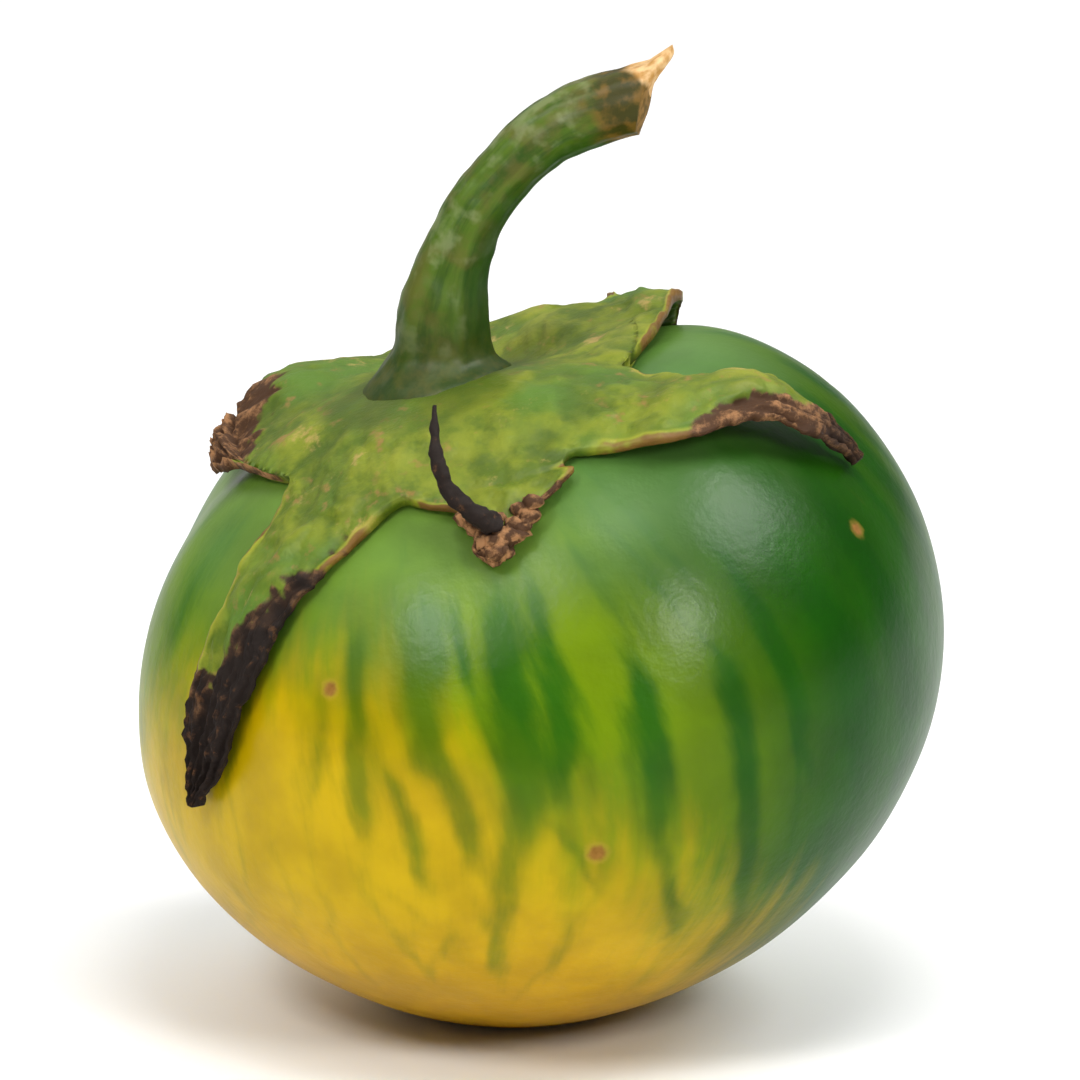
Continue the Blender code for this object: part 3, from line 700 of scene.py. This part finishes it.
def stem_rings():
    """Rings of points from the middle of the foot, up the stem and over the cut to near its middle, the
    middles of both ends, and the angles round a ring."""
    middle, along, spoke, angle = sweep(STEM_ROUTE, STEM_RADII, STEM_SEGMENTS, STEM_RINGS)
    v = np.linspace(0, 1, STEM_RINGS)[:, None, None]
    degrees = np.degrees(angle)
    rib = STEM_RIB * np.cos(5 * angle) + FINE_RIB * np.cos(11 * angle + 1)
    tube = middle[:, None] + spoke * (1 + rib)[None, :, None]
    foot = stem_foot(FOOT_POLAR, degrees)
    tube += (foot - tube[0]) * (1 - ease(0, FOOT_BLEND, v)) ** FOOT_CURVE
    slant = CUT_SLANT * STEM_RADII[-1] * MM * np.cos(np.radians(degrees - CUT_HIGH_SIDE))
    aside = np.abs(turn_between(degrees, FIBRE_SIDE)) / FIBRE_WIDTH
    fibre = FIBRE_LENGTH * np.exp(-aside ** FIBRE_BLUNTNESS)
    upward = spoke[-1, STEM_SEGMENTS // 2] / np.linalg.norm(spoke[-1, STEM_SEGMENTS // 2])
    tilt = np.radians(FIBRE_TILT)
    fibre = fibre[:, None] * (along[-1] * np.cos(tilt) + upward * np.sin(tilt))
    tube += along[:, None] * (slant * ease(CUT_BEGIN, 1.0, v[..., 0]))[..., None]
    flap = FLAP_RISE * np.exp(-(turn_between(degrees, FIBRE_SIDE) / FLAP_WIDTH) ** 2)
    tube += upward * (flap * ease(FLAP_BEGIN, 1.0, v[..., 0]))[..., None]
    rings = [stem_foot(FOOT_POLAR * share, degrees) for share in (1 / 3, 2 / 3)] + list(tube)
    rings[-1] = rings[-1] + fibre
    for ring in range(1, CUT_RINGS):
        share = 1 - ring / CUT_RINGS
        keep = 1 - ease(*FIBRE_FADE, ring / CUT_RINGS)
        swell = slant * share + CUT_SWELL * (1 - share**2)
        rings.append(middle[-1] + spoke[-1] * share + along[-1] * swell[:, None] + fibre * keep)
    ends = np.vstack([stem_foot(0.0, degrees[:1]), [middle[-1] + along[-1] * CUT_SWELL]])
    return rings, ends, angle


def make_stem():
    """The stem, with the numbers that its colours follow."""
    rings, ends, angle = stem_rings()
    points = np.vstack([*rings, ends])
    height = np.concatenate([[0, 0], np.linspace(0, 1, STEM_RINGS), np.full(CUT_RINGS - 1, 1.0)])
    height = np.concatenate([np.repeat(height, STEM_SEGMENTS), [0, 1]])
    cut = np.concatenate([np.zeros(STEM_RINGS + 2), np.ones(CUT_RINGS - 1)])
    cut = np.concatenate([np.repeat(cut, STEM_SEGMENTS), [0, 1]])
    turn = np.concatenate([np.tile(angle, len(rings)), [0, 0]])
    bumps = 0.12 * rough(points, 2.2 * MM, 2, seed=7) + cut * 0.2 * rough(points, 0.6 * MM, 2, seed=8)
    centre = np.vstack([np.repeat(np.array([r.mean(0) for r in rings]), STEM_SEGMENTS, 0), ends])
    outward = points - centre
    outward /= np.maximum(np.linalg.norm(outward, axis=1, keepdims=True), 1e-6)
    points += outward * (bumps * MM * ease(0.02, 0.1, height))[:, None]
    aside = np.abs(turn_between(np.degrees(turn), FIBRE_SIDE))
    pith = (height - PITH_FROM) / PITH_BLEND - (aside / PITH_WIDTH) ** 2 + 0.3
    fields = {
        "height": height,
        "cut": cut,
        "fibre": ease(0.0, 1.0, pith),
        "upper": 0.5 - 0.5 * np.cos(turn),
        "grain": np.stack([np.cos(turn), np.sin(turn), height * 1.6], 1),
    }
    faces = tube_faces(len(rings), STEM_SEGMENTS)
    return add_piece("stem_bark", points, faces, fields, stands_for="stem")


def make_thorn():
    """The front lobe's dried tip, which stands up as a thin dark thorn."""
    middle, _, spoke, _ = sweep(THORN_ROUTE, THORN_RADII, THORN_SEGMENTS, THORN_RINGS)
    points = (middle[:, None] + spoke).reshape(-1, 3)
    around = np.repeat(middle, THORN_SEGMENTS, axis=0)
    points = around + (points - around) * (1 + 0.35 * rough(points, 0.9 * MM, 2, seed=9))[:, None]
    points = np.vstack([points, middle[:1], middle[-1:]])
    faces = tube_faces(THORN_RINGS, THORN_SEGMENTS)
    return add_piece("calyx_thorn", points, faces, dry_fields(len(points), char=1, high=0))


# Materials

def srgb(red, green, blue):
    """A colour given as 0 to 255 screen values, as the light shares a shader needs."""
    share = np.array([red, green, blue]) / 255
    return tuple(np.where(share <= 0.04045, share / 12.92, ((share + 0.055) / 1.055) ** 2.4)) + (1.0,)


# Places of the mix node's sockets for colours: its inputs share, a and b, and its result
MIX_INPUTS = (0, 6, 7)
MIX_OUTPUT = 2


class Shader:
    """A material's node tree, built one socket at a time."""

    def __init__(self, name):
        self.material = bpy.data.materials.new(name)
        self.material.use_nodes = True
        self.nodes = self.material.node_tree.nodes
        self.links = self.material.node_tree.links
        self.surface = self.nodes["Principled BSDF"]

    def _feed(self, socket, value):
        """Link a socket to another one, or set it to a number or colour."""
        if isinstance(value, bpy.types.NodeSocket):
            self.links.new(value, socket)
        else:
            socket.default_value = value

    def set(self, **values):
        """Feed the surface's own sockets, named with _ for each space."""
        for name, value in values.items():
            self._feed(self.surface.inputs[name.replace("_", " ")], value)

    def field(self, name, vector=False):
        """The numbers of that name on the mesh's points."""
        node = self.nodes.new('ShaderNodeAttribute')
        node.attribute_name = name
        return node.outputs["Vector" if vector else "Fac"]

    def place(self):
        """The place on the piece itself, the same from every side."""
        return self.nodes.new('ShaderNodeTexCoord').outputs["Object"]

    def grains(self, scale, detail=3.0, roughness=0.5, vector=None):
        """Soft noise from 0 to 1."""
        node = self.nodes.new('ShaderNodeTexNoise')
        self._feed(node.inputs["Vector"], vector or self.place())
        node.inputs["Scale"].default_value = scale
        node.inputs["Detail"].default_value = detail
        node.inputs["Roughness"].default_value = roughness
        return node.outputs["Fac"]

    def math(self, operation, a, b):
        """The result of an operation on two numbers."""
        node = self.nodes.new('ShaderNodeMath')
        node.operation = operation
        self._feed(node.inputs[0], a)
        self._feed(node.inputs[1], b)
        return node.outputs[0]

    def between(self, value, low, high, to_low=0.0, to_high=1.0):
        """Smoothly from to_low to to_high while the value goes from low to high."""
        node = self.nodes.new('ShaderNodeMapRange')
        node.interpolation_type = 'SMOOTHSTEP'
        for socket, number in zip(node.inputs, (value, low, high, to_low, to_high)):
            self._feed(socket, number)
        return node.outputs[0]

    def mix(self, share, a, b, blend='MIX'):
        """From colour a at a share of 0 to colour b, or the blend of both, at a share of 1."""
        node = self.nodes.new('ShaderNodeMix')
        node.data_type = 'RGBA'
        node.blend_type = blend
        for place, value in zip(MIX_INPUTS, (share, a, b)):
            self._feed(node.inputs[place], value)
        return node.outputs[MIX_OUTPUT]

    def grey(self, value):
        """A colour with the value in all three channels."""
        node = self.nodes.new('ShaderNodeCombineColor')
        for socket in node.inputs:
            self._feed(socket, value)
        return node.outputs[0]

    def bump(self, height, depth, strength, below=None):
        """Small dents and bumps on top of those below."""
        node = self.nodes.new('ShaderNodeBump')
        node.inputs["Distance"].default_value = depth
        node.inputs["Strength"].default_value = strength
        self._feed(node.inputs["Height"], height)
        if below is not None:
            self._feed(node.inputs["Normal"], below)
        return node.outputs[0]


def fruit_material():
    """Waxy skin: green at the shoulder, yellow below, with dark stripes and corky spots; the deeper green on
    the right is partly painted shade and the pale shoulder partly a painted sheen.
    """
    s = Shader("fruit_waxy_skin")
    ripe, stripe, polar, deep_green_and_shade = (s.field(name) for name in ("ripe", "stripe", "polar", "deep_green_and_shade"))
    grain = s.field("grain", vector=True)
    streaks = s.math('SUBTRACT', s.grains(26, 4, 0.6, vector=grain), 0.5)
    patches = s.math('SUBTRACT', s.grains(180, 3), 0.5)

    # From green at the shoulder to yellow below; towards the right the green deepens, partly as painted shade
    soft_ripe = s.between(s.math('ADD', ripe, s.math('MULTIPLY', streaks, 0.5)), 0.04, 0.96)
    green = s.mix(s.between(deep_green_and_shade, 0, 1), srgb(100, 126, 0), srgb(24, 72, 0))
    yellow = s.mix(s.between(polar, 100, 146), srgb(187, 156, 0), srgb(188, 146, 6))
    colour = s.mix(soft_ripe, green, yellow)

    # Dark green stripes with streaky edges, deepening towards the right partly as painted shade
    dark = s.mix(ripe, srgb(38, 86, 0), srgb(84, 106, 0))
    dark = s.mix(s.math('MULTIPLY', deep_green_and_shade, 0.9), dark, srgb(10, 64, 0))
    streaky = s.math('ADD', stripe, s.math('MULTIPLY', streaks, 0.7))
    fading = s.math('SUBTRACT', 1.0, s.math('MULTIPLY', ripe, 0.2))
    colour = s.mix(s.math('MULTIPLY', s.between(streaky, 0.0, 0.98), fading), colour, dark)

    # The shoulder is paler, partly as a waxy bloom and partly as a painted sheen, and the whole skin a little
    # blotchy
    pale = s.between(s.math('ADD', polar, s.math('MULTIPLY', patches, 24)), 62, 36)
    colour = s.mix(s.math('MULTIPLY', pale, 0.52), colour, srgb(96, 136, 68))
    shade = s.between(patches, -0.2, 0.2, 0.86, 1.1)
    colour = s.mix(1.0, colour, s.grey(shade), blend='MULTIPLY')

    # Corky spots, each with a faint yellow rim, and the skin's fine dimples
    cork = s.math('ADD', s.field("spot"), s.math('MULTIPLY', s.grains(1500, 3), 0.35))
    halo = s.between(cork, 0.25, 0.5)
    colour = s.mix(s.math('MULTIPLY', halo, 0.2), colour, srgb(190, 146, 62))
    cork = s.between(cork, 0.42, 0.9, 0.0, 0.9)
    colour = s.mix(cork, colour, s.mix(s.grains(2400, 2), srgb(112, 70, 22), srgb(154, 106, 50)))
    dimples = s.bump(s.grains(1300, 2, 0.6), 0.06 * MM, 0.5)
    dents = s.bump(s.grains(240, 2), 0.14 * MM, 0.5, below=dimples)
    s.set(Base_Color=colour, Roughness=s.between(cork, 0, 1, 0.33, 0.75), Normal=dents)
    s.surface.inputs["Specular IOR Level"].default_value = FRUIT_GLOSS
    return s.material


def calyx_material():
    """Leathery green with paler crusts and a brown rim, brown to black where it is dry, with painted light on
    its bumps and painted shade in its dents.
    """
    s = Shader("calyx_leathery")
    dry, char, edge, high = (s.field(name) for name in ("dry", "char", "edge", "high"))
    patches = s.grains(330, 4, 0.6)
    green = s.mix(s.between(patches, 0.36, 0.64), srgb(80, 100, 12), srgb(120, 130, 26))
    green = s.mix(s.between(s.grains(140, 3), 0.45, 0.7), green, srgb(84, 116, 34))
    # Painted light and shade: lighter where the bumps stand high and darker where they sink
    green = s.mix(s.between(high, 0.04, 0.36, 0.0, 0.4), green, srgb(150, 150, 50))
    green = s.mix(s.between(high, -0.06, -0.36, 0.0, 0.5), green, srgb(54, 76, 8))
    specks = s.between(s.grains(560, 4, 0.6), 0.58, 0.74, 0.0, 0.7)
    green = s.mix(specks, green, srgb(150, 108, 62))
    crusts = s.math('ADD', s.grains(250, 5, 0.7), s.math('MULTIPLY', edge, 0.16))
    green = s.mix(s.between(crusts, 0.6, 0.72, 0.0, 0.75), green, srgb(176, 148, 84))
    lime = s.between(edge, 0.1, 0.6, 0.0, 0.5)
    green = s.mix(lime, green, srgb(154, 156, 40))
    rim = s.math('MULTIPLY', s.between(edge, 0.62, 0.9), s.between(s.grains(500, 2), 0.25, 0.5))
    green = s.mix(rim, green, s.mix(s.grains(420, 2), srgb(84, 54, 20), srgb(138, 102, 42)))
    near = s.math('ADD', s.field("near_stem"), s.math('MULTIPLY', s.math('SUBTRACT', patches, 0.5), 1.2))
    green = s.mix(s.between(near, 0.1, 1.0, 0.0, 0.75), green, srgb(56, 72, 6))

    # Dried parts: brown crust with paler crumbs, also paler where it stands high as painted light, almost
    # black where it is charred
    crust = s.math('ADD', s.grains(1200, 4, 0.7), s.math('MULTIPLY', high, 0.5))
    brown = s.mix(s.between(crust, 0.4, 0.75), srgb(70, 44, 22), srgb(156, 112, 72))
    charred = s.mix(s.between(crust, 0.55, 0.85), srgb(26, 15, 8), srgb(92, 60, 32))
    brown = s.mix(char, brown, charred)
    border = s.math('ADD', dry, s.math('MULTIPLY', s.math('SUBTRACT', s.grains(1300, 3), 0.5), 0.7))
    colour = s.mix(s.between(border, 0.25, 0.6), green, brown)
    wrinkles = s.bump(s.grains(700, 4, 0.6), 0.3 * MM, 0.5)
    fibres = s.bump(s.grains(2600, 3), 0.08 * MM, 0.6, below=wrinkles)
    s.set(Base_Color=colour, Roughness=s.between(dry, 0, 1, 0.55, 0.85), Normal=fibres)
    s.surface.inputs["Specular IOR Level"].default_value = CALYX_GLOSS
    return s.material


def stem_material():
    """Streaky green with brown blotches, dusky at the foot, rusty near the cut and pale where it is torn; its
    upper side has a pale bloom that is partly painted sheen, and its lower side has painted shade.
    """
    s = Shader("stem_fibrous")
    height, cut, fibre, upper = (s.field(name) for name in ("height", "cut", "fibre", "upper"))
    streaks = s.grains(2.2, 4, 0.6, vector=s.field("grain", vector=True))
    green = s.mix(s.between(streaks, 0.35, 0.65), srgb(40, 70, 2), srgb(76, 102, 18))
    blotches = s.math('ADD', s.grains(300, 4, 0.6), s.math('MULTIPLY', upper, 0.08))
    green = s.mix(s.between(blotches, 0.5, 0.7, 0.0, 0.5), green, srgb(98, 86, 38))
    # A pale grey bloom, partly painted sheen, a little more on the upper side
    bloom_and_sheen = s.math('ADD', s.grains(520, 3), s.math('MULTIPLY', upper, 0.06))
    green = s.mix(s.between(bloom_and_sheen, 0.52, 0.74, 0.0, 0.5), green, srgb(134, 142, 98))
    # Painted shade: the lower, inner side of the stem is a deeper green
    green = s.mix(s.between(upper, 0.42, 0.06, 0.0, 0.8), green, srgb(20, 62, 0))
    foot = s.between(s.math('ADD', height, s.math('MULTIPLY', s.grains(300, 3), 0.2)), 0.5, 0.14)
    dusky = s.mix(s.between(s.grains(420, 4, 0.7), 0.4, 0.62), srgb(32, 52, 0), srgb(62, 64, 8))
    green = s.mix(s.math('MULTIPLY', foot, 0.85), green, dusky)

    # The cut end
    tip = s.math('ADD', height, s.math('MULTIPLY', s.grains(420, 3), 0.16))
    rusty = s.mix(s.between(s.grains(900, 3), 0.4, 0.65), srgb(54, 52, 4), srgb(104, 78, 24))
    colour = s.mix(s.between(tip, 0.92, 1.02), green, rusty)
    torn = s.mix(s.between(s.grains(1600, 3), 0.35, 0.65), srgb(92, 70, 16), srgb(140, 104, 48))
    colour = s.mix(s.math('MULTIPLY', cut, 0.85), colour, torn)
    pith = s.mix(s.between(s.grains(1200, 3), 0.3, 0.7), srgb(176, 128, 62), srgb(220, 184, 132))
    colour = s.mix(s.between(fibre, 0.15, 0.6), colour, pith)
    bark = s.bump(streaks, 0.12 * MM, 0.4)
    pits = s.bump(s.grains(900, 3), 0.1 * MM, 0.5, below=bark)
    s.set(Base_Color=colour, Roughness=s.between(cut, 0, 1, 0.48, 0.8), Normal=pits)
    s.surface.inputs["Specular IOR Level"].default_value = STEM_GLOSS
    return s.material


def floor_material():
    """Plain and pale."""
    s = Shader("floor_pale")
    s.set(Base_Color=(0.94, 0.94, 0.94, 1.0), Roughness=0.9)
    return s.material


# Stage

def make_floor():
    """A wide plain floor."""
    mesh = bpy.data.meshes.new("floor")
    signs = ((-1, -1), (1, -1), (1, 1), (-1, 1))
    corners = [(x * FLOOR_REACH, y * FLOOR_REACH, FLOOR_LEVEL) for x, y in signs]
    mesh.from_pydata(corners, [], [(0, 1, 2, 3)])
    floor = bpy.data.objects.new("floor", mesh)
    bpy.context.scene.collection.objects.link(floor)
    mesh.materials.append(floor_material())


def add_softbox(name, azimuth, elevation, distance, width, height, power):
    """A rectangular light that faces the fruit; its azimuth is 0 at the camera and grows to the right."""
    light = bpy.data.lights.new(name, 'AREA')
    light.shape = 'RECTANGLE'
    light.size = width
    light.size_y = height
    light.energy = power
    a, e = np.radians(azimuth), np.radians(elevation)
    target = Vector(CAMERA_TARGET)
    spot = target + Vector((np.sin(a) * np.cos(e), -np.cos(a) * np.cos(e), np.sin(e))) * distance
    lamp = bpy.data.objects.new(name, light)
    lamp.location = spot
    lamp.rotation_euler = (target - spot).to_track_quat('-Z', 'Y').to_euler()
    bpy.context.scene.collection.objects.link(lamp)
    return lamp


def make_light():
    """The sky, brighter on one side, and the softboxes."""
    world = bpy.data.worlds.new("studio")
    world.use_nodes = True
    nodes = world.node_tree.nodes
    links = world.node_tree.links
    towards = nodes.new('ShaderNodeTexCoord').outputs["Generated"]
    brightest = nodes.new('ShaderNodeVectorMath')
    brightest.operation = 'DOT_PRODUCT'
    links.new(towards, brightest.inputs[0])
    brightest.inputs[1].default_value = SKY_SLOPE
    level = nodes.new('ShaderNodeMapRange')
    level.interpolation_type = 'SMOOTHSTEP'
    links.new(brightest.outputs["Value"], level.inputs["Value"])
    for name, number in zip(("From Min", "From Max", "To Min", "To Max"), SKY_LEVELS):
        level.inputs[name].default_value = number
    links.new(level.outputs["Result"], nodes["Background"].inputs["Strength"])
    nodes["Background"].inputs["Color"].default_value = (1.0, 1.0, 1.0, 1.0)
    bpy.context.scene.world = world
    for softbox in SOFTBOXES:
        add_softbox(*softbox)
    for sheen in SHEENS:
        add_softbox(*sheen).visible_diffuse = False


def make_camera():
    """The camera, at the photograph's angle."""
    camera = bpy.data.cameras.new("camera")
    camera.sensor_width = SENSOR_WIDTH
    camera.lens = SENSOR_WIDTH * CAMERA_DISTANCE / FRAME_WIDTH
    camera.clip_start = CLIP_START
    camera.clip_end = CLIP_END
    e = np.radians(CAMERA_ELEVATION)
    target = Vector(CAMERA_TARGET)
    holder = bpy.data.objects.new("camera", camera)
    holder.location = target + Vector((0, -np.cos(e), np.sin(e))) * CAMERA_DISTANCE
    holder.rotation_euler = (target - holder.location).to_track_quat('-Z', 'Y').to_euler()
    bpy.context.scene.collection.objects.link(holder)
    bpy.context.scene.camera = holder


def main():
    """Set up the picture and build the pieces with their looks."""
    bpy.context.scene.view_settings.view_transform = 'Standard'
    make_camera()
    make_light()
    make_floor()
    calyx_look = calyx_material()
    looks = [(make_fruit(), fruit_material()), (make_calyx(), calyx_look), (make_crumbs(), calyx_look),
             (make_stem(), stem_material()), (make_thorn(), calyx_look)]
    for piece, look in looks:
        piece.data.materials.append(look)


main()
